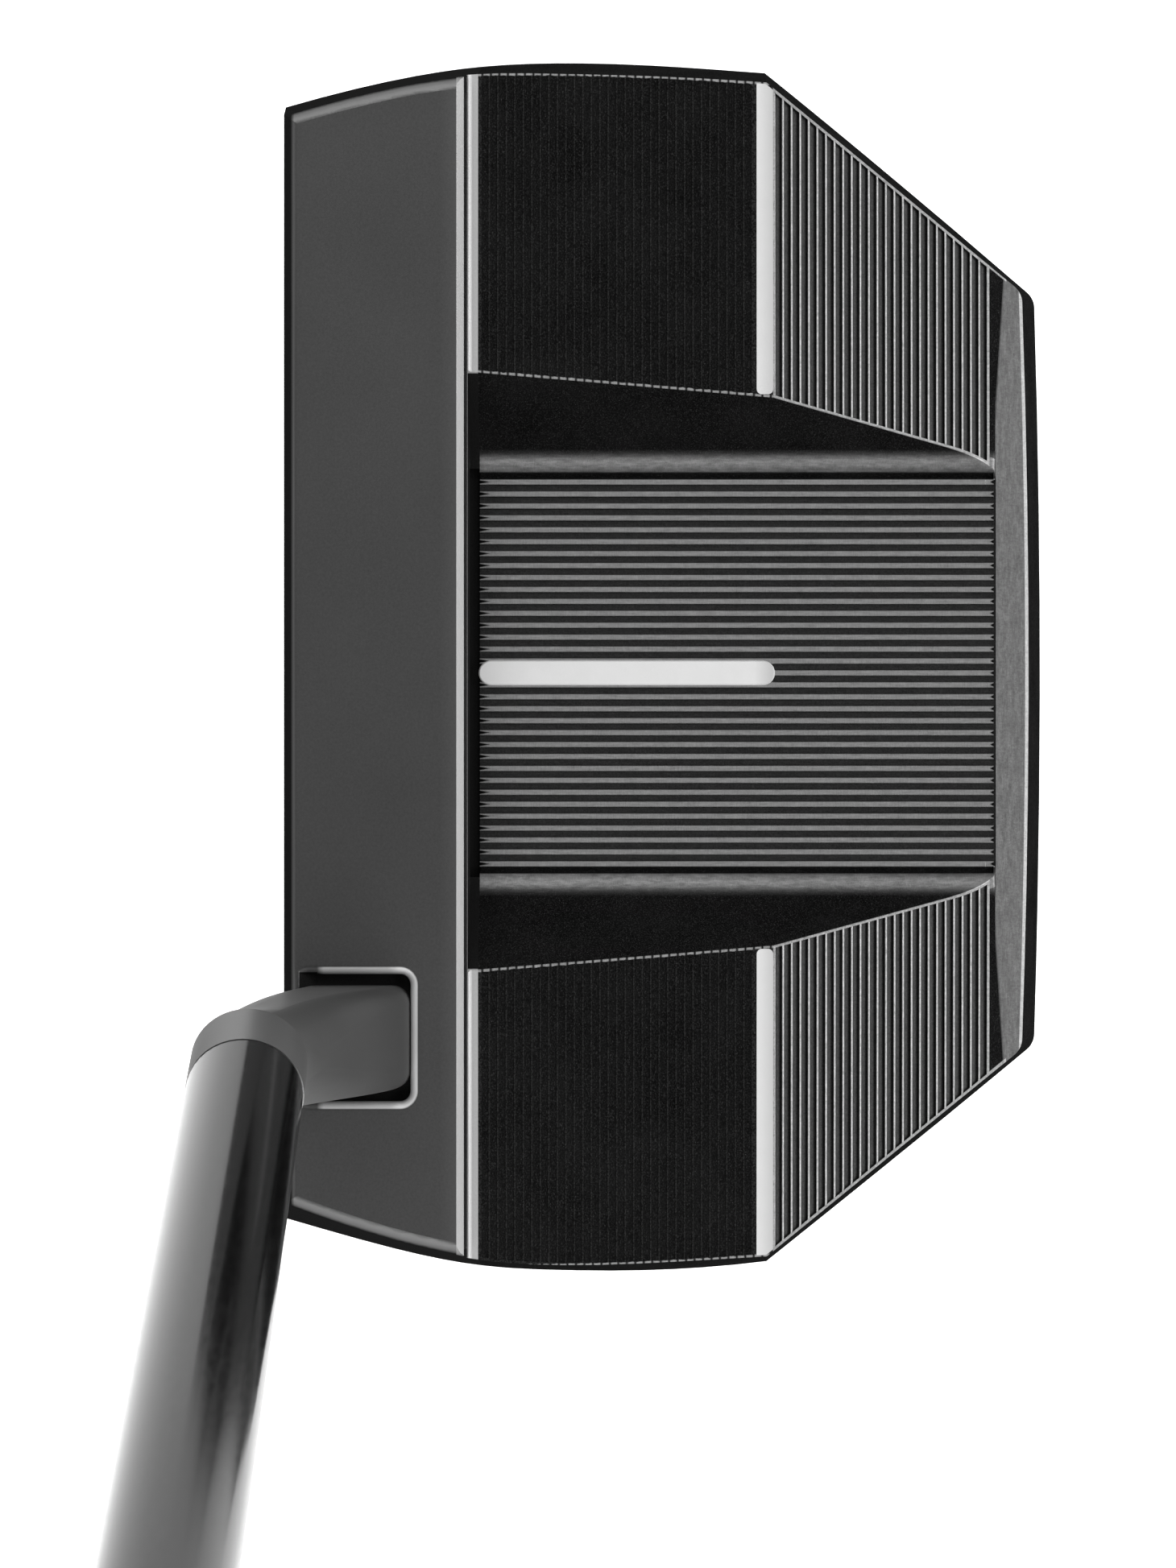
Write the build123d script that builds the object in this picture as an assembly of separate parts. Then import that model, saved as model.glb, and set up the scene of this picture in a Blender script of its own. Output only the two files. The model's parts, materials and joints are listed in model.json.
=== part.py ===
from build123d import *
import math
import os

os.makedirs("parts", exist_ok=True)

# Mallet putter. Units are millimetres.
# Origin: on the flat of the sole, on the head's plane of symmetry.
# +X runs to the heel and the player, -X to the toe, -Y to the target, +Z up.

# Head, overall
TOP_Z = 26.0            # top of the front bar
FRONT_Y = -33.7         # top front edge of the bar
BAR_REAR_Y = -18.04     # top of the step behind the bar, below its edge break
STEP_Y = -17.75         # foot of the step behind the bar
SEAM_Y = -16.84         # joint between the front bar and the rear body
LOFT = math.tan(math.radians(3.0))
FACE_FOOT_Y = FRONT_Y - LOFT * TOP_Z
REAR_TOP_Y = 30.0       # rear edge on the plane of symmetry, carried up to TOP_Z
REAR_FOOT_Y = 34.94     # the same, carried down to the ground
HEEL_TOP = [            # half widths from the face to the rear corner, at TOP_Z
    (46.45, FRONT_Y), (49.05, -26.3), (51.2, -17.0), (51.7, -9.4),
    (51.5, -2.7), (50.9, 8.4), (33.5, 29.43),
]
TOE_TOP = [
    (48.35, FRONT_Y), (50.35, -26.3), (51.8, -17.0), (51.7, -9.4),
    (51.5, -2.7), (50.9, 8.4), (33.5, 29.43),
]
HEEL_FOOT = [           # the same, at the ground
    (50.2, FACE_FOOT_Y), (52.65, -26.3), (54.55, -17.0), (55.0, -9.4),
    (55.1, -2.7), (54.15, 9.25), (33.7, 34.37),
]
TOE_FOOT = [
    (52.75, FACE_FOOT_Y), (55.05, -26.3), (56.7, -17.0), (57.25, -9.4),
    (57.1, -2.7), (56.2, 9.05), (34.75, 34.37),
]
EDGE_RADIUS = 1.2       # rounded top edges of the bar
REAR_EDGE_BREAK = 0.62  # crisp chamfer along the bar's rear edge
LEDGE_ROUND = 0.4       # hollow between the step and the ledge
REAR_CORNER_RADIUS = 2.0
CLEAR_Z = 31.0          # above everything on the head
CLEAR_X = 70.0          # outside everything on the head
END_Y = 40.0            # behind everything on the head

# Wings and channel
WING_FRONT_Z = 23.85    # wing surface at the seam, extended to the plane of symmetry
PATCH_FALL = 0.080      # fall of the flat wing fronts per millimetre rearwards
SLOPE_FALL = 0.268      # fall of the ridged slopes
OUTWARD_FALL = 0.0175   # fall of both towards toe and heel
STRIPE_Y = (7.65, 9.10)
STRIPE_DEPTH = 0.5
STRIPE_PROUD = 0.08
STRIPE_MARGIN = 0.2     # land between a stripe's inner end and the channel
STRIPE_INSET = 0.12     # land between a stripe's outer end and the side
STRIPE_CORNER = 0.45
RIDGE_FIRST_Y = 9.98
RIDGE_PITCH = 0.768
RIDGE_COUNT = 25
RIDGE_WIDTH = 0.2
RIDGE_DEPTH = 0.34
EDGE_BREAK = 0.05       # small chamfer on every ridge and rib
GROOVE_DRAFT = 0.04
FINE_PITCH = 0.746
FINE_COUNT = 32
FINE_DEPTH = 0.06
FINE_LAND = 0.1
BORDER = 0.2            # plain land left round the ridges
FINE_BORDER = 0.22
FLOOR_Z = 16.0
FLOOR_HALF = 17.2
RAIL_RADIUS = 3.9       # fillet between the channel's floor and its walls
WALL_ANGLE = 45.0
RIB_PITCH = 1.064
RIB_COUNT = 33
RIB_WIDTH = 0.5
RIB_DEPTH = 0.36
RELIEF_DEPTH = 0.8      # cross groove between the bar and the ribs
REAR_RELIEF = 0.2       # from the ribs' rear ends to the bevel
RELIEF_WIDTH = 0.18     # cross groove there
NOTCH_WIDTH = 0.34      # pointed notch in the end of each rib
NOTCH_DEPTH = 0.24
FRONT_NOTCH = 0.95
REAR_NOTCH = 0.38
BEVEL_Y = 29.15         # inner edge of the rear bevel
BEVEL_FALL = 0.53

# Sole, as runs of arcs that start at the flat
SOLE_ACROSS = [(22.0, 0.0), (34.0, 0.45), (44.0, 1.5), (51.0, 4.0), (57.0, 11.0)]
SOLE_FRONT = [(-27.0, 0.0), (-34.6, 3.0), (-40.0, 9.0)]
SOLE_REAR = [(16.0, 0.0), (25.5, 1.0), (33.0, 3.4), (35.0, 5.0), (36.0, 7.5)]

# Joint tongue, insert, sight line
TONGUE = (56.0, 5.0, 4.0)
TONGUE_Z = 7.0
TONGUE_ROOT = 1.0       # part of the tongue buried in the bar
INSERT_SIZE = (74.0, 16.5)
INSERT_Z = 13.2
INSERT_THICKNESS = 3.6
BACKING_THICKNESS = 0.8
FACE_CLEAR = 2.0        # how far the insert's cutter stands out of the face
SCORE_COUNT = 13
SCORE_WIDTH = 0.45
SCORE_DEPTH = 0.25
SCORE_MARGIN = 3.0      # plain width left round the score lines
SIGHT_WIDTH = 2.2
SIGHT_LENGTH = 26.4
SIGHT_DEPTH = 0.7
SIGHT_PROUD = 0.12
SIGHT_CHAMFER = 0.1

# Sole weights
WEIGHT_X = 37.0
WEIGHT_Y = -3.0
WEIGHT_BOTTOM_Z = 1.3
FLANGE_RADIUS = 7.0
FLANGE_HEIGHT = 2.8
WASHER_THICKNESS = 0.5
THREAD_RADIUS = 4.5
THREAD_PITCH = 1.0
THREAD_LENGTH = 7.0
THREAD_HEIGHT = 0.5
THREAD_FORM = (0.3, 0.7, 0.82, 1.22)    # foot, crest and foot of a thread, in pitches
FLANGE_BREAK = 0.5
DRIVE_RADIUS = 1.75     # six-lobed drive socket
DRIVE_LOBES = 6
LOBE_RADIUS = 0.5
DRIVE_DEPTH = 2.6
RUNNING_GAP = 0.06
POCKET_GAP = 0.3

# Shaft, neck and grip
LIE = 70.0
JOINT = (34.58, -34.57, 63.0)   # centre of the shaft's lower end
CLUB_LENGTH = 889.0
TIP_RADIUS = 4.7
BUTT_RADIUS = 7.35
SHAFT_WALL = 0.45
TIP_BREAK = 0.15        # chamfer on the shaft's lower end
TIP_PARALLEL = 250.0
STEP_COUNT = 11
STEP_SPACING = 29.0
STEP_TAPER = 0.8
POST_RADIUS = 4.15
POST_LENGTH = 26.0
EPOXY_MARGIN = 0.5
NECK_COLLAR = 6.2
NECK_RADIUS = 4.75
SHANK = [               # sections of the shank: x, y, z, size, corner radius
    (32.0, -27.85, 26.0, (9.0, 10.1), 1.6), (32.1, -30.2, 36.0, (9.0, 9.6), 2.2),
    (32.35, -32.9, 47.0, (8.5, 9.5), 3.2),
]
ROOT_CENTRE = (32.0, -27.75)
ROOT_SIZE = (9.0, 10.1)
ROOT_RADIUS = 1.6
ROOT_DEPTH = 2.5
SPIGOT_CENTRE = (32.0, -26.3)
SPIGOT_RADIUS = 2.8
SPIGOT_LENGTH = 9.0
MOAT_X = (26.5, 37.55)
MOAT_Y = (-32.4, -22.7)
MOAT_DEPTH = 1.7
MOAT_RAMP = (1.4, 1.3)  # length and depth of the floor's steep front end
MOAT_CORNER = 0.9
MOAT_RIM = 0.8          # rounding of the recess's rim
GRIP_LENGTH = 267.0
TAPE_THICKNESS = 0.25
CORE_THICKNESS = 1.6
GRIP_MOUTH = 2.0        # lower end of the skin, closed on to the shaft
GRIP_STATIONS = [       # distance from the grip's lower end, width, height
    (0, 20.6, 20.6), (40, 21.6, 21.8), (120, 24.5, 23.2), (200, 27.6, 26.0), (250, 28.6, 28.4),
    (GRIP_LENGTH, 28.4, 28.6),
]
THUMB_SHARE = 0.45      # part of the grip's height on the thumb side of the axis
THUMB_FLAT = 0.62       # half width of the thumb flat, over the grip's half width
SHOULDER_DROP = 0.42    # from the thumb flat down to the widest point, over the half width
EDGE_MIDDLE = (0.90, 0.13)      # middle of the rounded edge between them
FLANK_MIDDLE = (0.70, 0.62)     # middle of the flank, over the half width and the back height
CAP_PROUD = 3.5
CAP_ROUND = 1.4
CAP_INSETS = (0.8, 3.8)
VENT_RADIUS = 1.5


def side_edges(points, sign, inset):
    """One side of the head's outline: a curve from the face, then the straight chamfer."""
    face, *middle, side_corner, rear_corner = points
    curve = [(face[0] - inset, face[1] + inset)]
    curve += [(x - inset, y) for x, y in middle]
    curve.append((side_corner[0] - inset, side_corner[1] - inset / 2))
    curve = [(sign * x, y) for x, y in curve]
    end = (sign * (rear_corner[0] - inset / 2), rear_corner[1] - inset)
    return [Spline(*curve), Line(curve[-1], end)]


def head_outline(z, heel_points, toe_points, rear_y, inset):
    """Outline of the head at height z, less an inset."""
    heel = side_edges(heel_points, 1, inset)
    toe = side_edges(toe_points, -1, inset)
    face = Line(toe[0] @ 0, heel[0] @ 0)
    rear = ThreePointArc(heel[1] @ 1, (0, rear_y - inset), toe[1] @ 1)
    return Pos(0, 0, z) * make_face([face, *heel, rear, *toe])


def head_hull(inset=0.0):
    """Flared block that the whole head is cut from."""
    foot = head_outline(0.0, HEEL_FOOT, TOE_FOOT, REAR_FOOT_Y, inset)
    top = head_outline(TOP_Z, HEEL_TOP, TOE_TOP, REAR_TOP_Y, inset)
    return loft([foot, top], ruled=True)


def rounded_hull():
    """Head hull with its two rear upright corners rounded."""
    hull = head_hull()
    rear = hull.edges().filter_by(
        lambda edge: edge.center().Y > REAR_TOP_Y and abs(edge.tangent_at(0.5).Z) > 0.9)
    return fillet(rear, REAR_CORNER_RADIUS)


def side_profile(points):
    """Face in the plane of symmetry from (y, z) points."""
    return make_face(Polyline(*[(0, y, z) for y, z in points], close=True))


def front_profile(points):
    """Face across the head from (x, z) points."""
    return make_face(Polyline(*[(x, 0, z) for x, z in points], close=True))


def to_both_wings(profile):
    """Sweep a side profile to toe and heel, falling outwards."""
    wings = [extrude(profile, amount=CLEAR_X, dir=(side, 0, -OUTWARD_FALL)) for side in (1, -1)]
    return wings[0] + wings[1]


def wing_z(y):
    """Height of the wing surface in the plane of symmetry."""
    patch_end = WING_FRONT_Z - PATCH_FALL * (STRIPE_Y[1] - SEAM_Y)
    if y <= STRIPE_Y[1]:
        return WING_FRONT_Z - PATCH_FALL * (y - SEAM_Y)
    return patch_end - SLOPE_FALL * (y - STRIPE_Y[1])


def comb(start, pitch, count, width, depth, height, edge_break=0.0):
    """Outline of a row of grooves under a surface, joined above it, with the lands' edges broken."""
    points = [(start - pitch / 2, height(start - pitch / 2) + 1.0)]
    for index in range(count):
        left = start + pitch * index - width / 2
        right = left + width
        if edge_break:
            points.append((left - edge_break, height(left)))
        points.append((left, height(left) - edge_break))
        points.append((left + GROOVE_DRAFT, height(left) - depth))
        points.append((right - GROOVE_DRAFT, height(right) - depth))
        points.append((right, height(right) - edge_break))
        if edge_break:
            points.append((right + edge_break, height(right)))
    last = start + pitch * (count - 0.5)
    points.append((last, height(last) + 1.0))
    return points


def floor_height(x):
    """Height of the ribs' tops, the same all across the channel."""
    return FLOOR_Z


def wall_x(z):
    """Half width of the channel where its wall reaches height z."""
    angle = math.radians(WALL_ANGLE)
    fillet_z = FLOOR_Z + RAIL_RADIUS * (1 - math.cos(angle))
    return FLOOR_HALF + RAIL_RADIUS * math.sin(angle) + (z - fillet_z) / math.tan(angle)


def channel_section(grow=0.0):
    """Section of the channel: flat floor, fillet, sloping wall."""
    angle = math.radians(WALL_ANGLE)
    fillet_z = FLOOR_Z + RAIL_RADIUS * (1 - math.cos(angle))
    fillet_x = wall_x(fillet_z) + grow
    mid_x = FLOOR_HALF + RAIL_RADIUS * math.sin(angle / 2) + grow
    mid_z = FLOOR_Z + RAIL_RADIUS * (1 - math.cos(angle / 2))
    top_x = wall_x(CLEAR_Z) + grow
    floor_x = FLOOR_HALF + grow
    outline = [
        Line((-floor_x, 0, FLOOR_Z), (floor_x, 0, FLOOR_Z)),
        ThreePointArc((floor_x, 0, FLOOR_Z), (mid_x, 0, mid_z), (fillet_x, 0, fillet_z)),
        Line((fillet_x, 0, fillet_z), (top_x, 0, CLEAR_Z)),
        Line((top_x, 0, CLEAR_Z), (-top_x, 0, CLEAR_Z)),
        Line((-top_x, 0, CLEAR_Z), (-fillet_x, 0, fillet_z)),
        ThreePointArc((-fillet_x, 0, fillet_z), (-mid_x, 0, mid_z), (-floor_x, 0, FLOOR_Z)),
    ]
    return make_face(outline)


def channel(front_y, rear_y, grow=0.0):
    """Channel volume between two cross planes."""
    return extrude(Pos(0, front_y, 0) * channel_section(grow), amount=rear_y - front_y, dir=(0, 1, 0))


def arc_run(points):
    """Arcs end to end, each through three of the points."""
    return [ThreePointArc(*points[index:index + 3]) for index in range(0, len(points) - 2, 2)]


def sole_block():
    """Block whose underside is the sole: flat, cambered to the sides and rolled at the edges."""
    heel = [(x, 0, z) for x, z in SOLE_ACROSS]
    toe = [(-x, 0, z) for x, z in SOLE_ACROSS]
    front = [(0, y, z) for y, z in SOLE_FRONT]
    rear = [(0, y, z) for y, z in SOLE_REAR]
    side_x, front_y, rear_y = heel[-1][0], front[-1][1], rear[-1][1]
    across = arc_run(heel) + arc_run(toe) + [
        Line(toe[0], heel[0]),
        Line(heel[-1], (side_x, 0, CLEAR_Z)),
        Line((side_x, 0, CLEAR_Z), (-side_x, 0, CLEAR_Z)),
        Line((-side_x, 0, CLEAR_Z), toe[-1]),
    ]
    along = arc_run(front) + arc_run(rear) + [
        Line(front[0], rear[0]),
        Line(rear[-1], (0, rear_y, CLEAR_Z)),
        Line((0, rear_y, CLEAR_Z), (0, front_y, CLEAR_Z)),
        Line((0, front_y, CLEAR_Z), front[-1]),
    ]
    block = extrude(make_face(across), amount=CLEAR_X, both=True, dir=(0, 1, 0))
    return block & extrude(make_face(along), amount=CLEAR_X, both=True, dir=(1, 0, 0))


def head_block():
    """Whole head before its top is cut."""
    return rounded_hull() & sole_block()


def slab(y0, y1):
    """Everything between two cross planes."""
    return Pos(0, (y0 + y1) / 2, 0) * Box(2 * CLEAR_X, y1 - y0, 3 * CLEAR_Z)


def seam_tongue():
    """Tongue on the back of the bar that keys into the rear body."""
    width, length, height = TONGUE
    middle_y = SEAM_Y + (length - TONGUE_ROOT) / 2
    return Pos(0, middle_y, TONGUE_Z) * Box(width, length + TONGUE_ROOT, height)


def shaft_plane(distance=0.0):
    """Plane across the shaft, a distance up its axis from the joint; local y is the thumb side."""
    lean = math.radians(90 - LIE)
    axis = Vector(math.sin(lean), 0, math.cos(lean))
    return Plane(origin=Vector(*JOINT) + axis * distance, x_dir=(0, 1, 0), z_dir=axis)


def axis_cylinder(start, end, radius):
    """Cylinder on the shaft's axis."""
    return extrude(shaft_plane(start) * Circle(radius), amount=end - start)


def eight_edge_section(plane, size, radius):
    """Rounded rectangle of four corners and four sides, starting with the corner at +x +y."""
    half_x, half_y = size[0] / 2, size[1] / 2
    flat_x, flat_y = half_x - radius, half_y - radius
    middle_reach = radius * math.sqrt(0.5)
    corners = []
    for sx, sy in ((1, 1), (-1, 1), (-1, -1), (1, -1)):
        side_end = (sx * half_x, sy * flat_y)
        top_end = (sx * flat_x, sy * half_y)
        middle = (sx * (flat_x + middle_reach), sy * (flat_y + middle_reach))
        corners.append((side_end, middle, top_end) if sx * sy > 0 else (top_end, middle, side_end))
    edges = []
    for index, corner in enumerate(corners):
        following = corners[(index + 1) % len(corners)]
        edges.append(ThreePointArc(*corner))
        edges.append(Line(corner[-1], following[0]))
    return plane * make_face(edges)


def round_section(plane, radius):
    """Circle of the same eight edges."""
    arcs = []
    for index in range(8):
        angles = [math.pi / 8 * (2 * index + step) for step in (1, 2, 3)]
        arcs.append(ThreePointArc(*[(radius * math.cos(a), radius * math.sin(a)) for a in angles]))
    return plane * make_face(arcs)


def level_plane(centre, z):
    """Level plane with its origin at a point of the neck's centre line."""
    return Plane(origin=(centre[0], centre[1], z))


def make_neck():
    """Neck: root and spigot, leaning flattened shank, round collar and post."""
    root_z = TOP_Z - ROOT_DEPTH
    collar_end = round_section(shaft_plane(-NECK_COLLAR), NECK_RADIUS)
    sections = [eight_edge_section(level_plane(ROOT_CENTRE, root_z), ROOT_SIZE, ROOT_RADIUS)]
    for x, y, z, size, radius in SHANK:
        sections.append(eight_edge_section(level_plane((x, y), z), size, radius))
    shank = loft(sections + [collar_end])
    spigot = Pos(SPIGOT_CENTRE[0], SPIGOT_CENTRE[1], root_z - SPIGOT_LENGTH / 2) * Cylinder(
        SPIGOT_RADIUS, SPIGOT_LENGTH)
    collar = extrude(collar_end, amount=NECK_COLLAR)
    post = axis_cylinder(0, POST_LENGTH, POST_RADIUS)
    return shank + spigot + collar + post


def make_moat():
    """Recess round the neck's root: rounded rim, upright corners, floor rising to the front."""
    (x0, x1), (y0, y1) = MOAT_X, MOAT_Y
    centre = Pos((x0 + x1) / 2, (y0 + y1) / 2, 0)
    margin = 4 * MOAT_RIM
    bottom = TOP_Z - 2 * MOAT_DEPTH
    outline = Rectangle(x1 - x0, y1 - y0)
    outline = fillet(outline.vertices(), MOAT_CORNER)
    plate = Rectangle(x1 - x0 + margin, y1 - y0 + margin) - outline
    plate = Pos(0, 0, bottom) * extrude(plate, amount=TOP_Z - bottom)
    rim = plate.edges().group_by(Axis.Z)[-1]
    inner = rim.filter_by(lambda edge: abs(edge.center().X) < (x1 - x0) / 2 + 0.01
                          and abs(edge.center().Y) < (y1 - y0) / 2 + 0.01)
    plate = centre * fillet(inner, MOAT_RIM)
    floor = side_profile([
        (y0, TOP_Z), (y0 + MOAT_RAMP[0], TOP_Z - MOAT_RAMP[1]), (y1 + margin, TOP_Z - MOAT_DEPTH),
        (y1 + margin, TOP_Z + 1), (y0, TOP_Z + 1),
    ])
    half_margin = margin / 2
    above_floor = extrude(Pos(x0 - half_margin, 0, 0) * floor, amount=x1 - x0 + margin, dir=(1, 0, 0))
    block = centre * Pos(0, 0, (bottom + TOP_Z) / 2) * Box(x1 - x0 + margin, y1 - y0 + margin, TOP_Z - bottom)
    return (block - plate) & above_floor


def insert_plane(depth):
    """Plane in the lofted face, a depth behind it; local x is heelwards, local z out of the face."""
    face_y = FRONT_Y - LOFT * (TOP_Z - INSERT_Z)
    outward = Vector(0, -1, LOFT).normalized()
    return Plane(origin=Vector(0, face_y, INSERT_Z) - outward * depth, x_dir=(1, 0, 0), z_dir=outward)


def insert_blank(depth, thickness):
    """Stadium-shaped slab in the face."""
    return extrude(insert_plane(depth) * SlotOverall(*INSERT_SIZE), amount=-thickness)


def make_insert():
    """Striking insert with level score lines."""
    insert = insert_blank(0.0, INSERT_THICKNESS)
    width, height = INSERT_SIZE
    for index in range(SCORE_COUNT):
        offset = (index - (SCORE_COUNT - 1) / 2) * height / (SCORE_COUNT + 1)
        reach = width - height + 2 * math.sqrt((height / 2) ** 2 - offset ** 2) - SCORE_MARGIN
        score = insert_plane(SCORE_DEPTH) * Pos(0, offset) * SlotOverall(reach, SCORE_WIDTH)
        insert -= extrude(score, amount=1.0)
    return insert


def make_front_bar(block, neck):
    """Face bar, with its step, the cross relief, the insert pocket and the neck's recess and socket."""
    bar = block & slab(-CLEAR_X, SEAM_Y)
    ledge_top = WING_FRONT_Z + LEDGE_ROUND
    past_seam = SEAM_Y + 1
    above_step = side_profile([
        (BAR_REAR_Y - REAR_EDGE_BREAK - 1, TOP_Z + 1), (BAR_REAR_Y, TOP_Z - REAR_EDGE_BREAK),
        (STEP_Y, ledge_top), (past_seam, ledge_top), (past_seam, TOP_Z + 1),
    ])
    bar -= extrude(above_step, amount=CLEAR_X, both=True)
    middle = LEDGE_ROUND * (1 - math.sqrt(0.5))
    above_ledge = make_face([
        Line((0, STEP_Y, CLEAR_Z), (0, STEP_Y, ledge_top)),
        ThreePointArc((0, STEP_Y, ledge_top), (0, STEP_Y + middle, WING_FRONT_Z + middle),
                      (0, STEP_Y + LEDGE_ROUND, WING_FRONT_Z)),
        Line((0, STEP_Y + LEDGE_ROUND, WING_FRONT_Z), (0, past_seam, WING_FRONT_Z)),
        Line((0, past_seam, WING_FRONT_Z), (0, past_seam, CLEAR_Z)),
        Line((0, past_seam, CLEAR_Z), (0, STEP_Y, CLEAR_Z)),
    ])
    bar -= to_both_wings(above_ledge)
    bar -= channel(STEP_Y, past_seam)
    width = 2 * FLOOR_HALF + 2
    bar -= Pos(0, (STEP_Y + SEAM_Y) / 2, FLOOR_Z) * Box(width, SEAM_Y - STEP_Y, 2 * RELIEF_DEPTH)
    top_edges = bar.edges().filter_by(lambda edge: abs(edge.center().Z - TOP_Z) < 0.01)
    bar = fillet(top_edges.sort_by(Axis.Y)[:-1], EDGE_RADIUS)
    bar -= insert_blank(-FACE_CLEAR, FACE_CLEAR + INSERT_THICKNESS + BACKING_THICKNESS)
    bar -= make_moat()
    bar -= neck
    return bar + seam_tongue()


def stripe(side):
    """Pocket of the white cross line between a flat wing front and its ridged slope."""
    y0, y1 = STRIPE_Y
    middle = (y0 + y1) / 2
    inner_x = wall_x(wing_z(middle) - OUTWARD_FALL * wall_x(wing_z(middle))) + STRIPE_MARGIN
    section = side_profile([
        (y0, wing_z(y0) - STRIPE_DEPTH), (y1, wing_z(y1) - STRIPE_DEPTH),
        (y1, wing_z(y1) + STRIPE_DEPTH), (y0, wing_z(y0) + STRIPE_DEPTH),
    ])
    blank = extrude(section, amount=CLEAR_X, dir=(side, 0, -OUTWARD_FALL))
    plan = Rectangle(CLEAR_X, y1 - y0)
    inner_end = plan.vertices().group_by(Axis.X)[0]
    plan = fillet(inner_end, STRIPE_CORNER)
    plan = Pos(inner_x + CLEAR_X / 2, middle, 0) * plan
    plan = plan if side > 0 else mirror(plan, about=Plane.YZ)
    return blank & extrude(plan, amount=CLEAR_Z, dir=(0, 0, 1)) & head_hull(STRIPE_INSET)


def above_stripes():
    """Space over the stripes, whose tops stand a little proud of the wings."""
    y0, y1 = STRIPE_Y[0] - 1, STRIPE_Y[1] + 1
    fall = (wing_z(STRIPE_Y[0]) - wing_z(STRIPE_Y[1])) / (STRIPE_Y[1] - STRIPE_Y[0])
    level = wing_z(STRIPE_Y[0]) + STRIPE_PROUD
    return to_both_wings(side_profile([
        (y0, level + fall), (y1, level - fall * (y1 - STRIPE_Y[0])), (y1, CLEAR_Z), (y0, CLEAR_Z),
    ]))


def rib_notches(end_y, length, direction):
    """Pointed notches running out along the ribs from their ends."""
    points = []
    first = -(RIB_COUNT - 1) / 2 * RIB_PITCH
    for index in range(RIB_COUNT):
        x = first + index * RIB_PITCH
        points += [(x - NOTCH_WIDTH / 2, FLOOR_Z), (x, FLOOR_Z - NOTCH_DEPTH), (x + NOTCH_WIDTH / 2, FLOOR_Z)]
    points = [(points[0][0], CLEAR_Z)] + points + [(points[-1][0], CLEAR_Z)]
    slope = NOTCH_DEPTH / length
    lead = REAR_RELIEF / 2
    start = Pos(0, end_y - direction * lead, -lead * slope)
    return extrude(start * front_profile(points), amount=2 * length, dir=(0, direction, slope))


def make_rear_body(block):
    """Rear body with wings, ridges, channel, ribs and rear bevel."""
    body = block & slab(SEAM_Y, CLEAR_X)
    above_wings = side_profile([
        (SEAM_Y - 1, CLEAR_Z), (SEAM_Y - 1, WING_FRONT_Z), (SEAM_Y, WING_FRONT_Z),
        (STRIPE_Y[1], wing_z(STRIPE_Y[1])), (END_Y, wing_z(END_Y)), (END_Y, CLEAR_Z),
    ])
    body -= to_both_wings(above_wings)
    bevel_top = BEVEL_Y - (CLEAR_Z - FLOOR_Z) / BEVEL_FALL
    above_bevel = side_profile([
        (bevel_top, CLEAR_Z), (END_Y, FLOOR_Z - BEVEL_FALL * (END_Y - BEVEL_Y)), (END_Y, CLEAR_Z),
    ])
    body -= extrude(above_bevel, amount=CLEAR_X, both=True)
    body -= channel(SEAM_Y - 1, END_Y)

    ridged = head_hull(BORDER) - channel(SEAM_Y - 1, END_Y, BORDER)
    ridges = comb(RIDGE_FIRST_Y - RIDGE_PITCH / 2, RIDGE_PITCH, RIDGE_COUNT,
                  RIDGE_PITCH - RIDGE_WIDTH, RIDGE_DEPTH, wing_z, EDGE_BREAK)
    body -= ridged & to_both_wings(side_profile(ridges))
    fine = head_hull(FINE_BORDER) - channel(SEAM_Y - 1, END_Y, FINE_BORDER)
    lines = comb(SEAM_Y + FINE_PITCH / 2 + FINE_BORDER, FINE_PITCH, FINE_COUNT,
                 FINE_PITCH - FINE_LAND, FINE_DEPTH, wing_z)
    body -= fine & to_both_wings(side_profile(lines))

    grooves = comb(-RIB_COUNT / 2 * RIB_PITCH, RIB_PITCH, RIB_COUNT + 1,
                   RIB_PITCH - RIB_WIDTH, RIB_DEPTH, floor_height, EDGE_BREAK)
    rib_end = BEVEL_Y - REAR_RELIEF
    body -= extrude(Pos(0, SEAM_Y, 0) * front_profile(grooves), amount=rib_end - SEAM_Y, dir=(0, 1, 0))
    body -= Pos(0, rib_end + RELIEF_WIDTH / 2, FLOOR_Z) * Box(2 * FLOOR_HALF, RELIEF_WIDTH, 2 * RIB_DEPTH)
    body -= rib_notches(SEAM_Y, FRONT_NOTCH, 1)
    body -= rib_notches(rib_end, REAR_NOTCH, -1)
    return body


def make_sight_line():
    """White filled line with round ends, set into the ribs."""
    y = SEAM_Y + SIGHT_LENGTH / 2 - 0.1
    outline = Pos(0, y, FLOOR_Z - SIGHT_DEPTH) * Rot(0, 0, 90) * SlotOverall(SIGHT_LENGTH, SIGHT_WIDTH)
    line = extrude(outline, amount=SIGHT_DEPTH + SIGHT_PROUD)
    rim = line.edges().group_by(Axis.Z)[-1]
    return chamfer(rim, SIGHT_CHAMFER)


def weight_hole(x):
    """Counterbore and tapped hole for one sole weight."""
    seat_z = WEIGHT_BOTTOM_Z + FLANGE_HEIGHT + WASHER_THICKNESS
    bore = Pos(x, WEIGHT_Y, seat_z / 2 - 2) * Cylinder(FLANGE_RADIUS + POCKET_GAP, seat_z + 4)
    depth = THREAD_LENGTH + 1.0
    tapped = Pos(x, WEIGHT_Y, seat_z + depth / 2) * Cylinder(THREAD_RADIUS + RUNNING_GAP, depth)
    return bore + tapped


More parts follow.
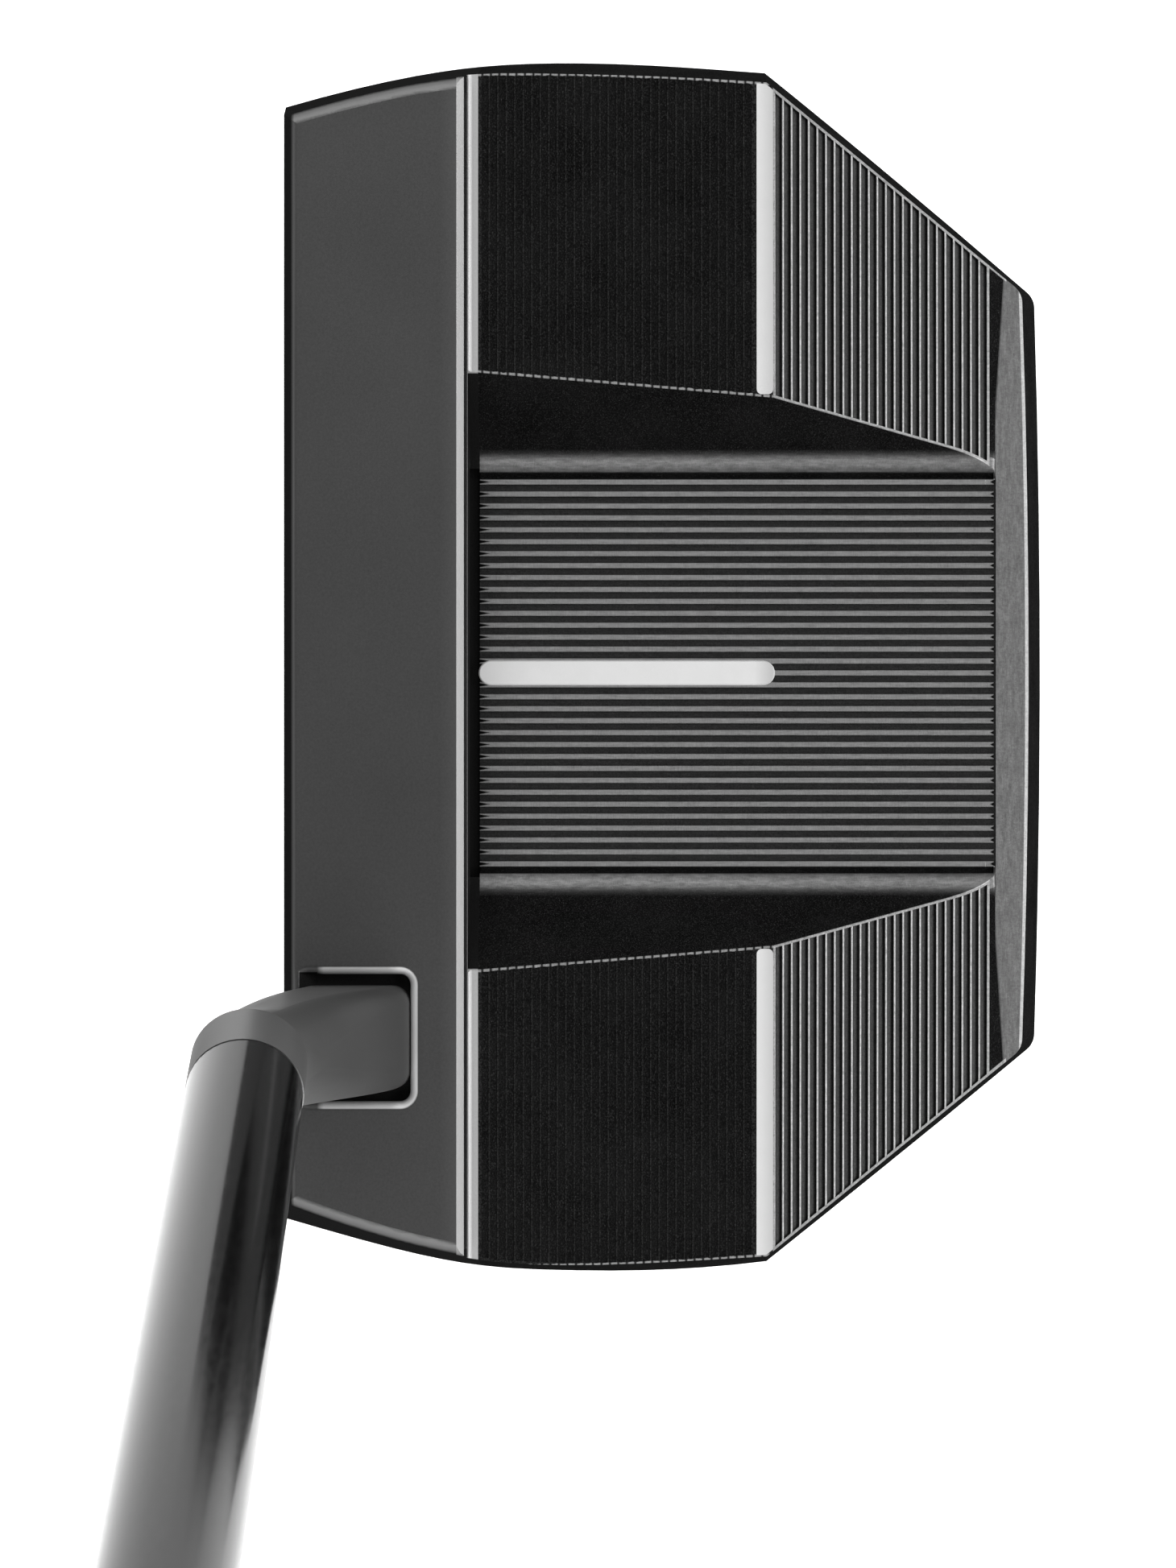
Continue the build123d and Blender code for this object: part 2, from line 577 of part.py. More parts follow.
def make_weight(x):
    """Round sole weight: flange with a six-lobed drive and a threaded shank."""
    seat = WEIGHT_BOTTOM_Z + FLANGE_HEIGHT
    neck_top = seat + WASHER_THICKNESS
    top = neck_top + THREAD_LENGTH
    core = THREAD_RADIUS - THREAD_HEIGHT
    points = [(0, WEIGHT_BOTTOM_Z), (FLANGE_RADIUS - FLANGE_BREAK, WEIGHT_BOTTOM_Z),
              (FLANGE_RADIUS, WEIGHT_BOTTOM_Z + FLANGE_BREAK), (FLANGE_RADIUS, seat),
              (core, seat), (core, neck_top)]
    turns = int(THREAD_LENGTH / THREAD_PITCH) - 1
    for turn in range(turns):
        heights = [neck_top + (turn + share) * THREAD_PITCH for share in THREAD_FORM]
        points += zip((core, THREAD_RADIUS, THREAD_RADIUS, core), heights)
    points += [(core, top - THREAD_HEIGHT), (core - THREAD_HEIGHT, top), (0, top)]
    profile = make_face(Polyline(*[(r, 0, z) for r, z in points], close=True))
    weight = Pos(x, WEIGHT_Y, 0) * revolve(profile, Axis.Z)
    socket = Circle(DRIVE_RADIUS) + PolarLocations(DRIVE_RADIUS, DRIVE_LOBES) * Circle(LOBE_RADIUS)
    return weight - Pos(x, WEIGHT_Y, WEIGHT_BOTTOM_Z) * extrude(socket, amount=DRIVE_DEPTH)


def make_washer(x):
    """Thin washer between a weight's flange and its seat."""
    base = WEIGHT_BOTTOM_Z + FLANGE_HEIGHT
    ring = Circle(FLANGE_RADIUS - 0.4) - Circle(THREAD_RADIUS + 0.1)
    return Pos(x, WEIGHT_Y, base) * extrude(ring, amount=WASHER_THICKNESS)


def on_axis(profile_points):
    """Solid of revolution about the shaft's axis from (radius, distance) points."""
    profile = make_face(Polyline(*[(r, 0, d) for r, d in profile_points], close=True))
    solid = revolve(profile, Axis.Z)
    return shaft_plane().location * solid


def shaft_length():
    """Length from the joint to the butt for the club's stated length."""
    below_joint = JOINT[2] / math.sin(math.radians(LIE))
    return CLUB_LENGTH - below_joint


def make_shaft():
    """Stepped steel tube: parallel tip, then even steps up to the butt."""
    grow = (BUTT_RADIUS - TIP_RADIUS) / STEP_COUNT
    outer = [(TIP_RADIUS - TIP_BREAK, 0.0), (TIP_RADIUS, TIP_BREAK)]
    for index in range(STEP_COUNT):
        radius = TIP_RADIUS + grow * index
        at = TIP_PARALLEL + STEP_SPACING * index
        outer += [(radius, at), (radius + grow, at + STEP_TAPER)]
    outer.append((BUTT_RADIUS, shaft_length()))
    inner = [(r - SHAFT_WALL, d) for r, d in reversed(outer[2:])] + [(TIP_RADIUS - SHAFT_WALL, 0.0)]
    return on_axis(outer + inner)


def make_epoxy():
    """Bond between the neck's post and the shaft's bore."""
    bore = TIP_RADIUS - SHAFT_WALL
    low, high = EPOXY_MARGIN, POST_LENGTH - EPOXY_MARGIN
    return on_axis([(POST_RADIUS, low), (bore, low), (bore, high), (POST_RADIUS, high)])


def grip_section(distance, width, height):
    """Pistol grip section: flat thumb side, rounded flanks and a narrow back."""
    half = width / 2
    front = height * THUMB_SHARE
    back = height - front
    flat = half * THUMB_FLAT
    shoulder = front - half * SHOULDER_DROP
    edge_middle = (half * EDGE_MIDDLE[0], front - half * EDGE_MIDDLE[1])
    flank_middle = (half * FLANK_MIDDLE[0], -back * FLANK_MIDDLE[1])
    outline = [
        Line((-flat, front), (flat, front)),
        ThreePointArc((flat, front), edge_middle, (half, shoulder)),
        ThreePointArc((half, shoulder), flank_middle, (0, -back)),
        ThreePointArc((0, -back), (-flank_middle[0], flank_middle[1]), (-half, shoulder)),
        ThreePointArc((-half, shoulder), (-edge_middle[0], edge_middle[1]), (-flat, front)),
    ]
    return shaft_plane(distance) * make_face(outline)


def make_grip(butt):
    """Tape, foam core, skin and butt cap."""
    start = butt - GRIP_LENGTH
    inside = start + GRIP_MOUTH
    tape_radius = BUTT_RADIUS + TAPE_THICKNESS
    core_radius = tape_radius + CORE_THICKNESS
    tape = axis_cylinder(inside, butt, tape_radius) - axis_cylinder(start, butt + 1, BUTT_RADIUS)
    core = axis_cylinder(inside, butt, core_radius) - axis_cylinder(start, butt + 1, tape_radius)
    skin = loft([grip_section(start + at, width, height) for at, width, height in GRIP_STATIONS])
    skin -= axis_cylinder(inside, butt + 1, core_radius)
    skin -= axis_cylinder(start - 1, inside + 1, BUTT_RADIUS + 0.02)
    width, height = GRIP_STATIONS[-1][1:]
    small, large = CAP_INSETS
    cap_side = grip_section(butt + CAP_PROUD - CAP_ROUND, width - small, height - small)
    cap_end = grip_section(butt + CAP_PROUD, width - large, height - large)
    cap = loft([grip_section(butt, width, height), cap_side]) + loft([cap_side, cap_end])
    cap -= axis_cylinder(butt - 1, butt + CAP_PROUD + 1, VENT_RADIUS)
    return {"grip_tape": tape, "grip_core": core, "grip_skin": skin, "grip_cap": cap}


def build_parts():
    """Every piece of the club, by node name."""
    block = head_block()
    neck = make_neck()
    front_bar = make_front_bar(block, neck)
    rear_body = make_rear_body(block)
    sight_line = make_sight_line()
    rear_body -= sight_line
    rear_body -= seam_tongue()
    over_stripes = above_stripes()
    parts = {}
    for name, side in (("toe", -1), ("heel", 1)):
        x = side * WEIGHT_X
        slot = stripe(side)
        rear_body -= slot
        parts[name + "_stripe"] = slot - over_stripes
        rear_body -= weight_hole(x)
        parts[name + "_weight"] = make_weight(x)
        parts[name + "_weight_washer"] = make_washer(x)
    parts["front_bar"] = front_bar
    parts["rear_body"] = rear_body
    parts["hosel_neck"] = neck
    parts["face_insert"] = make_insert()
    parts["insert_backing"] = insert_blank(INSERT_THICKNESS, BACKING_THICKNESS)
    parts["sight_line"] = sight_line
    parts["shaft"] = make_shaft()
    parts["shaft_epoxy"] = make_epoxy()
    parts.update(make_grip(shaft_length()))
    return parts


for node, solid in build_parts().items():
    solid.label = node
    export_step(solid, f"parts/{node}.step")
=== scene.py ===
import bpy
import json
import math
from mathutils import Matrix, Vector


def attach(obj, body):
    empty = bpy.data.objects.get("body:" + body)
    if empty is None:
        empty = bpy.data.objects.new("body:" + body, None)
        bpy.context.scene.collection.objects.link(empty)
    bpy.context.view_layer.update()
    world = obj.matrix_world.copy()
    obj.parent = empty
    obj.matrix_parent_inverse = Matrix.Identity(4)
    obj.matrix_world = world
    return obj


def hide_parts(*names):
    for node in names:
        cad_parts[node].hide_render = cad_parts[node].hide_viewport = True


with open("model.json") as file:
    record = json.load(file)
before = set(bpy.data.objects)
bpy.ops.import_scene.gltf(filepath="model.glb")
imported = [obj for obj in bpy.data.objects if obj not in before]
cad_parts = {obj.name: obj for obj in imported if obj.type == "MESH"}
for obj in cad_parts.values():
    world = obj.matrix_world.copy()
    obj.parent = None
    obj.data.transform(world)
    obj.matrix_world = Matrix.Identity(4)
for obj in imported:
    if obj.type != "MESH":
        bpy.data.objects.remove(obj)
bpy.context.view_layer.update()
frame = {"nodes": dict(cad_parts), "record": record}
nodes = frame["nodes"]
MM = 0.001

# Camera: straight above the head, a little to the heel and the face
CAMERA_AT = Vector((9.9, -7.2, 459.0)) * MM
LENS = 114.1

# Surfaces of the rear body, in millimetres, as the CAD cuts them
SEAM_Y = -16.84
WING_FRONT_Z = 23.85
PATCH_FALL = 0.080
SLOPE_FALL = 0.268
OUTWARD_FALL = 0.0175
STRIPE_FRONT_Y = 7.65
STRIPE_REAR_Y = 9.10
FINE_PITCH = 0.746
LAST_RIDGE_Y = 28.41
FLOOR_Z = 16.0
FLOOR_HALF = 17.2
RAIL_RADIUS = 3.9
BEVEL_Y = 29.15
BEVEL_FALL = 0.53
FRONT_Y = -33.7
BAR_EDGE_Y = -18.66
STEP_TOP_Y = -18.04
STEP_Y = -17.75
NECK_ROOT_X = 32.0
MOAT_FRONT_Y = -32.4
MOAT_REAR_Y = -22.7
MOAT_RIM = 0.8
SIDE_CORNER = (50.9, 8.4)
REAR_CORNER = (33.5, 29.43)
REAR_WALL_Y = 32.2          # where the bevel meets the rear wall, on the plane of symmetry
TOP_Z = 26.0

# ---------------------------------------------------------------- camera
camera_data = bpy.data.cameras.new("camera")
camera_data.sensor_width = 36.0
camera_data.lens = LENS
camera_data.clip_start = 0.01
camera = bpy.data.objects.new("camera", camera_data)
bpy.context.scene.collection.objects.link(camera)
camera.location = CAMERA_AT
camera.rotation_euler = (0, 0, math.pi / 2)
bpy.context.scene.camera = camera
bpy.context.scene.view_settings.view_transform = "Standard"


# ---------------------------------------------------------------- material graphs
class Graph:
    """One material's nodes. Values passed in are numbers or the sockets of other nodes."""

    def __init__(self, name):
        self.material = bpy.data.materials.new(name)
        self.material.use_nodes = True
        self.tree = self.material.node_tree
        self.shader = self.tree.nodes["Principled BSDF"]
        self.place = self.add("ShaderNodeTexCoord").outputs["Object"]

    def add(self, kind, **settings):
        made = self.tree.nodes.new(kind)
        for key, value in settings.items():
            setattr(made, key, value)
        return made

    def feed(self, socket, value):
        if isinstance(value, bpy.types.NodeSocket):
            self.tree.links.new(value, socket)
        elif isinstance(value, tuple) and len(value) == 3 and socket.type == "RGBA":
            socket.default_value = (*value, 1.0)
        else:
            socket.default_value = value

    def math(self, operation, first, second=0.0, third=0.0):
        made = self.add("ShaderNodeMath", operation=operation)
        for socket, value in zip(made.inputs, (first, second, third)):
            self.feed(socket, value)
        return made.outputs[0]

    def plus(self, first, second):
        return self.math("ADD", first, second)

    def minus(self, first, second):
        return self.math("SUBTRACT", first, second)

    def times(self, first, second):
        return self.math("MULTIPLY", first, second)

    def most(self, first, second):
        return self.math("MAXIMUM", first, second)

    def above(self, value, edge, blur=0.02):
        """1 where value is over edge, 0 where it is under, with a soft change blur wide."""
        made = self.add("ShaderNodeMapRange")
        self.feed(made.inputs["Value"], value)
        made.inputs["From Min"].default_value = edge - blur / 2
        made.inputs["From Max"].default_value = edge + blur / 2
        return made.outputs["Result"]

    def below(self, value, edge, blur=0.02):
        return self.minus(1.0, self.above(value, edge, blur))

    def span(self, value, low, high):
        """value from 0..1 spread over low..high."""
        return self.math("MULTIPLY_ADD", value, high - low, low)

    def millimetres(self):
        """x, y and z of the point, in millimetres."""
        made = self.add("ShaderNodeSeparateXYZ")
        self.feed(made.inputs[0], self.place)
        return [self.times(made.outputs[axis], 1 / MM) for axis in range(3)]

    def stretched(self, scale):
        """The point's place, scaled along each axis."""
        made = self.add("ShaderNodeMapping")
        self.feed(made.inputs["Vector"], self.place)
        made.inputs["Scale"].default_value = scale
        return made.outputs[0]

    def noise(self, size, detail=2.0, rough=0.5, place=None):
        """Noise whose features are about size millimetres across."""
        made = self.add("ShaderNodeTexNoise")
        self.feed(made.inputs["Vector"], place or self.place)
        made.inputs["Scale"].default_value = 1 / (size * MM)
        made.inputs["Detail"].default_value = detail
        made.inputs["Roughness"].default_value = rough
        return made.outputs["Fac"]

    def blend(self, share, first, second):
        made = self.add("ShaderNodeMix", data_type="RGBA")
        self.feed(made.inputs["Factor"], share)
        colours = [socket for socket in made.inputs if socket.type == "RGBA"]
        self.feed(colours[0], first)
        self.feed(colours[1], second)
        return next(socket for socket in made.outputs if socket.type == "RGBA")

    def bump(self, height, depth):
        """Bump of depth millimetres for a height of 0..1."""
        made = self.add("ShaderNodeBump")
        self.feed(made.inputs["Height"], height)
        made.inputs["Distance"].default_value = depth * MM
        return made.outputs["Normal"]

    def finish(self, **inputs):
        """Set the shader's inputs and return the material."""
        for key, value in inputs.items():
            self.feed(self.shader.inputs[key.replace("_", " ")], value)
        return self.material


def grey(level, warmth=0.0):
    """Neutral colour, a little warm or cool."""
    return (level * (1 + warmth), level, level * (1 - warmth))


def satin_metal(name, low, high, roughness, grain=0.12, depth=0.004, edge_tint=0.35):
    """Bead-blasted metal: fine even grain in its height, a slow drift in its tone."""
    g = Graph(name)
    fine = g.noise(grain, detail=3.0, rough=0.6)
    drift = g.noise(9.0, detail=2.0)
    tone = g.plus(g.times(fine, 0.5), g.times(drift, 0.5))
    return g.finish(
        Base_Color=g.blend(tone, grey(low), grey(high)),
        Metallic=1.0,
        Roughness=g.span(fine, roughness - 0.05, roughness + 0.05),
        Specular_Tint=grey(edge_tint),
        Normal=g.bump(fine, depth),
    )


# How bare each kind of cut surface is, from black to metal
SLOPE_SHARE = 0.68
RIB_SHARE = 0.8
# rails: bare metal in a band set where the highlight falls on the fillet, partly a painted highlight
RAIL_BARE_AND_HIGHLIGHT_SHARE = 0.25
GROOVE_SHARE = 0.09
BEVEL_SHARE = 0.16
PATCH_EDGE_SHARE = 1.0
PATCH_LINE_SHARE = 0.07
EDGE_LINE_SHARE = 0.6       # bare line along the bevel's outer edge
WALL_LINE_SHARE = 0.6       # bare line along the channel, over the one along the side

# Widths of the bare bands and other lengths of the masks, in millimetres
LAND_DEPTH = 0.045          # lands are what stands this close under the wing surface
RIDGE_HALF = 0.16           # half the last ridge's crest, with slack
GROOVE_DEPTH = 0.5          # grooves between ribs and between ridges are shallower than this
BORDER_WIDTH = 0.2
BEAD_WIDTH = 0.17
BEAD_GAP = 0.1              # half the gap between two beads of the wing fronts' edges
WOBBLE = 0.12
BEVEL_EDGE = 0.32
RAIL_FROM_FLOOR = 0.45
RAIL_FROM_WALL = 0.85
HAIR = 0.05                 # blur or slack of a narrow mask, as wide as the CAD's edge breaks

# Side of the head and its growth per millimetre down, towards the toe and the heel
SIDE_WIDEST = (51.8, -14.0)
SIDE_BOW = 0.0019
SIDE_FLARE = (0.205, 0.128)
CHAMFER_FLARE = (0.165, 0.122)
REAR_BOW = 0.00052


def body_finish():
    """Black blasted body with its lands, ribs and bevel cut back to bare satin metal."""
    g = Graph("body_black")
    x, y, z = g.millimetres()
    across = g.math("ABSOLUTE", x)
    patch_run = g.minus(g.math("MINIMUM", y, STRIPE_REAR_Y), SEAM_Y)
    slope_run = g.most(g.minus(y, STRIPE_REAR_Y), 0.0)
    fall = g.plus(g.times(patch_run, PATCH_FALL), g.times(slope_run, SLOPE_FALL))
    fall = g.plus(fall, g.times(across, OUTWARD_FALL))
    wing_z = g.minus(WING_FRONT_Z, fall)
    over_wing = g.minus(z, wing_z)
    land = g.above(over_wing, -LAND_DEPTH)

    # distance from the channel's wall and from the straight side behind the stripe
    wall_foot_x = FLOOR_HALF + RAIL_RADIUS * math.sin(math.pi / 4)
    wall_foot_z = FLOOR_Z + RAIL_RADIUS * (1 - math.cos(math.pi / 4))
    from_wall = g.minus(g.minus(across, wall_foot_x), g.minus(z, wall_foot_z))
    run = Vector(REAR_CORNER) - Vector(SIDE_CORNER)
    normal = Vector((run.y, -run.x)).normalized()
    drop = g.minus(TOP_Z, z)
    to_heel = g.above(x, 0.0)
    drift = g.times(drop, g.span(to_heel, *CHAMFER_FLARE))
    from_side = g.plus(g.times(g.minus(across, SIDE_CORNER[0]), normal.x),
                       g.times(g.minus(y, SIDE_CORNER[1]), normal.y))
    from_side = g.minus(drift, from_side)

    # ridged slopes: bare crests and a thin bare line round them
    behind = g.above(y, STRIPE_REAR_Y)
    ridged = g.below(y, LAST_RIDGE_Y + RIDGE_HALF)
    wall_line = g.times(g.below(from_wall, BORDER_WIDTH, HAIR), WALL_LINE_SHARE)
    border = g.most(g.below(from_side, BORDER_WIDTH, HAIR), wall_line)
    rubbed = g.span(g.noise(0.25, detail=4.0, rough=0.8), 0.2, 2 * SLOPE_SHARE - 0.2)
    slope_light = g.times(g.times(g.times(land, behind), g.most(ridged, border)), rubbed)

    # flat wing fronts: beaded edges and faint broken lines
    bow = g.times(g.math("POWER", g.minus(y, SIDE_WIDEST[1]), 2.0), SIDE_BOW)
    outer = g.plus(g.minus(SIDE_WIDEST[0], bow), g.times(drop, g.span(to_heel, *SIDE_FLARE)))
    from_edge = g.math("MINIMUM", from_wall, g.minus(outer, across))
    along = g.math("FLOORED_MODULO", g.minus(y, SEAM_Y), FINE_PITCH)
    bead = g.above(g.math("ABSOLUTE", g.minus(along, FINE_PITCH / 2)), BEAD_GAP, 0.12)
    wobble = g.span(g.noise(0.5, detail=3.0), -WOBBLE, WOBBLE)
    edge = g.times(g.below(g.plus(from_edge, wobble), BEAD_WIDTH, 0.06), g.times(bead, PATCH_EDGE_SHARE))
    dotted = g.times(g.above(g.noise(0.16, detail=3.0), 0.52, 0.15), PATCH_LINE_SHARE)
    patch_light = g.times(g.times(land, g.minus(1.0, behind)), g.most(edge, dotted))

    # ribs, the rails beside them, and the grooves between ribs and ridges; the rails' band is bare metal
    # set where the highlight falls on the fillet, partly a painted highlight
    inside = g.times(g.above(z, FLOOR_Z - 0.07, 0.03), g.below(y, BEVEL_Y - 0.1))
    on_ribs = g.times(g.below(across, FLOOR_HALF + 0.12), g.below(z, FLOOR_Z + HAIR))
    rib_light = g.times(g.times(on_ribs, inside), RIB_SHARE)
    rail_bare_and_highlight = g.times(g.above(across, FLOOR_HALF + RAIL_FROM_FLOOR, 1.1),
                   g.below(across, wall_foot_x - RAIL_FROM_WALL, 1.5))
    rail_bare_and_highlight = g.times(g.times(rail_bare_and_highlight, g.below(z, wall_foot_z + 0.1)), g.times(inside, RAIL_BARE_AND_HIGHLIGHT_SHARE))
    rail_bare_and_highlight = g.times(rail_bare_and_highlight, g.span(g.noise(0.3, detail=3.0, place=g.stretched((1.0, 0.3, 1.0))), 0.4, 1.6))
    in_ribs = g.times(g.above(z, FLOOR_Z - GROOVE_DEPTH), g.below(y, BEVEL_Y))
    in_ribs = g.times(g.below(across, FLOOR_HALF - 0.1), in_ribs)
    in_slope = g.times(g.above(over_wing, -GROOVE_DEPTH), g.above(from_side, HAIR))
    in_slope = g.times(g.times(behind, ridged), g.times(in_slope, g.above(from_wall, 0.1)))
    specks = g.span(g.noise(0.14, detail=3.0, rough=0.8), 0.0, 2 * GROOVE_SHARE)
    groove_light = g.times(g.most(in_ribs, in_slope), specks)

    # rear bevel: milled arcs and a bare outer edge
    bevel_z = g.minus(FLOOR_Z, g.times(g.minus(y, BEVEL_Y), BEVEL_FALL))
    off_bevel = g.math("ABSOLUTE", g.minus(z, bevel_z))
    bevel = g.times(g.below(off_bevel, 0.03), g.above(y, BEVEL_Y - HAIR))
    rear_edge = g.plus(y, g.times(g.math("POWER", x, 2.0), REAR_BOW))
    rear_edge = g.above(rear_edge, REAR_WALL_Y - BEVEL_EDGE, 0.08)
    arcs = g.noise(0.45, detail=3.0, rough=0.7, place=g.stretched((0.25, 1.0, 1.0)))
    bevel_tone = g.times(g.span(arcs, 0.4, 1.6), BEVEL_SHARE)
    bevel_light = g.times(bevel, g.most(bevel_tone, g.times(rear_edge, EDGE_LINE_SHARE)))
    bare = g.most(g.most(slope_light, patch_light), g.most(g.most(rib_light, rail_bare_and_highlight), bevel_light))
    bare = g.most(bare, groove_light)

    grain = g.noise(0.11, detail=3.0, rough=0.75)
    sparkle = g.math("POWER", g.span(grain, -0.25, 1.45), 6.0)
    streak = g.noise(0.16, detail=2.0, place=g.stretched((1.0, 0.12, 1.0)))
    mill = g.noise(0.1, detail=2.0, rough=0.6, place=g.stretched((0.16, 1.0, 1.0)))
    speck = g.noise(0.07, detail=2.0, rough=0.8)
    metal_tone = g.plus(g.times(g.plus(streak, mill), 0.35), g.times(speck, 0.3))
    cloud = g.span(g.noise(5.0, detail=3.0), -0.03, 0.09)
    black = g.blend(g.plus(sparkle, cloud), grey(0.0015), grey(0.05))
    metallic = g.above(bare, 0.03, 0.04)
    metal = g.blend(g.span(metal_tone, -0.6, 1.6), grey(0.2), grey(0.55))
    height = g.plus(g.times(grain, 0.6), g.times(g.times(mill, bevel), 0.8))
    return g.finish(
        Base_Color=g.blend(bare, black, metal),
        Metallic=metallic,
        Roughness=g.span(metallic, 0.6, 0.4),
        Specular_IOR_Level=0.0,
        Specular_Tint=grey(0.02),
        Normal=g.bump(height, 0.008),
    )


# Front bar: how bare its edges are, and where they lie, in millimetres
EDGE_SHARE = 0.38           # bare edge along the bar's rear
LEDGE_SHARE = 0.85
STEP_SHARE = 0.2
PAINTED_SHEEN_SHARE = 0.35           # painted sheen: satin painted lighter next to the rear edge
PAINTED_SHEEN_WIDTH = 2.4
FRONT_ROLL = 0.75           # width of the rolled edge over the face, painted near black as painted shade
TOP_DEPTH = 0.42            # what lies deeper than this isn't the bar's top
STEP_HALF = 50.5            # half length of the bare step
EDGE_DROP = 0.75            # depth of the rear edge's chamfer, with slack
NECK_ROOT_HALF = 5.7        # half width of the recess round the neck's root, with slack
RECESS_SHADE_LENGTH = 1.6           # painted shade on the recess's front end
RIM_HIGHLIGHT_WIDTH = 0.9
RIM_HIGHLIGHT_FROM_FRONT = 1.9        # where the painted highlight on the rim starts, behind the recess's front


def bar_finish():
    """Front bar: satin gunmetal top with a painted sheen by its rear edge and painted highlights on its
    rolled edges, near-black sides and face, painted shade on the front rolled edge and the recess's front
    end, bare rear step, painted highlight on the recess rim.
    """
    g = Graph("bar_satin")
    x, y, z = g.millimetres()
    across = g.math("ABSOLUTE", x)
    from_neck = g.math("ABSOLUTE", g.minus(x, NECK_ROOT_X))
    drop = g.minus(TOP_Z, z)
    # the top stops short of the front rolled edge, which takes the near-black side colour: painted shade
    on_top = g.times(g.below(drop, TOP_DEPTH, 0.3), g.above(y, FRONT_Y + FRONT_ROLL, 0.3))
    # rolled edges of the top: painted lighter as a painted highlight, and rougher
    rolled_edge_highlight = g.times(on_top, g.above(drop, 0.03, 0.04))

    # recess round the neck: painted highlight on the rim, painted shade on the front end
    near_neck = g.times(g.below(y, MOAT_REAR_Y + 1.0), g.above(y, MOAT_FRONT_Y + RIM_HIGHLIGHT_FROM_FRONT, 0.6))
    near_neck = g.times(g.below(from_neck, NECK_ROOT_HALF + RIM_HIGHLIGHT_WIDTH), near_neck)
    rim_painted_highlight = g.times(near_neck, g.times(g.above(drop, 0.02, 0.03), g.below(drop, MOAT_RIM * 0.75, 0.4)))
    # painted shade: the recess's front end painted near black
    recess_painted_shade = g.times(g.below(from_neck, NECK_ROOT_HALF), g.above(drop, 0.03, 0.03))
    recess_painted_shade = g.times(recess_painted_shade, g.times(g.above(y, MOAT_FRONT_Y - 0.1), g.below(y, MOAT_FRONT_Y + RECESS_SHADE_LENGTH)))

    # rear: chamfered edge, step down to the body, ledge level with the wings
    edge = g.times(g.above(y, BAR_EDGE_Y - 0.02), g.below(y, STEP_TOP_Y + 0.02))
    edge = g.times(g.times(edge, g.below(drop, EDGE_DROP)), EDGE_SHARE)
    step = g.times(g.times(g.above(y, STEP_TOP_Y), g.below(y, STEP_Y)), g.above(z, FLOOR_Z))
    step = g.times(step, g.below(across, STEP_HALF))
    wing = g.minus(WING_FRONT_Z, g.times(across, OUTWARD_FALL))
    ledge = g.times(g.above(y, STEP_Y - 0.02, 0.1), g.above(g.minus(z, wing), -0.1, 0.05))

    fine = g.noise(0.11, detail=3.0, rough=0.65)
    blast = g.noise(0.22, detail=3.0, rough=0.7)
    drift = g.noise(14.0, detail=2.0)
    tone = g.plus(g.times(g.span(blast, -1.0, 2.0), 0.4), g.times(drift, 0.6))
    # painted sheen: the top's satin painted lighter towards its rear edge
    painted_sheen = g.above(y, BAR_EDGE_Y - 0.3, PAINTED_SHEEN_WIDTH)
    satin = g.blend(tone, grey(0.078), grey(0.112))
    satin = g.blend(g.times(painted_sheen, PAINTED_SHEEN_SHARE), satin, grey(0.2))
    bare = g.blend(fine, grey(0.4), grey(0.6))
    # near black of the sides and face, also used as painted shade on the front rolled edge and the recess's
    # front end
    side = g.blend(fine, grey(0.003), grey(0.014))
    on_top = g.times(on_top, g.minus(1.0, recess_painted_shade))
    # on the top, satin with its rolled edges painted lighter: a painted highlight
    colour = g.blend(on_top, side, g.blend(rolled_edge_highlight, satin, grey(0.16)))
    colour = g.blend(g.times(step, STEP_SHARE), colour, bare)
    # bare ledge and rear edge, together with the rim's painted highlight
    bare_and_rim_highlight = g.most(g.times(ledge, LEDGE_SHARE), g.most(edge, rim_painted_highlight))
    colour = g.blend(bare_and_rim_highlight, colour, bare)
    # painted highlight: the recess rim painted near white
    colour = g.blend(rim_painted_highlight, colour, grey(0.78))
    return g.finish(
        Base_Color=colour,
        Metallic=g.most(on_top, g.above(g.most(bare_and_rim_highlight, step), 0.05, 0.05)),
        Roughness=g.plus(g.span(fine, 0.34, 0.44), g.times(g.most(ledge, g.most(rolled_edge_highlight, rim_painted_highlight)), 0.2)),
        Specular_IOR_Level=0.0,
        Specular_Tint=grey(0.02),
        Normal=g.bump(fine, 0.004),
    )


def milled_face():
    """Face insert: satin metal with fine crossed mill marks."""
    g = Graph("insert_face")
    first = g.noise(0.2, detail=1.0, place=g.stretched((1.0, 1.0, 0.12)))
    second = g.noise(0.2, detail=1.0, place=g.stretched((0.12, 1.0, 1.0)))
    marks = g.plus(g.times(first, 0.5), g.times(second, 0.5))
    return g.finish(
        Base_Color=g.blend(marks, grey(0.28), grey(0.46)),
        Metallic=1.0,
        Roughness=g.span(marks, 0.28, 0.42),
        Normal=g.bump(marks, 0.01),
    )


def black_chrome():
    """Gloss black shaft with a faint orange peel and hairlines along it."""
    g = Graph("shaft_black")
    peel = g.noise(1.6, detail=2.0)
    hair = g.noise(0.5, detail=2.0, place=g.stretched((1.0, 1.0, 0.03)))
    return g.finish(
        Base_Color=g.blend(hair, grey(0.03), grey(0.04)),
        Metallic=1.0,
        Roughness=g.span(hair, 0.12, 0.2),
        Normal=g.bump(peel, 0.0015),
    )


STRIPE_SHADE = 0.72         # painted shade: tone at the cross stripes' rear edges


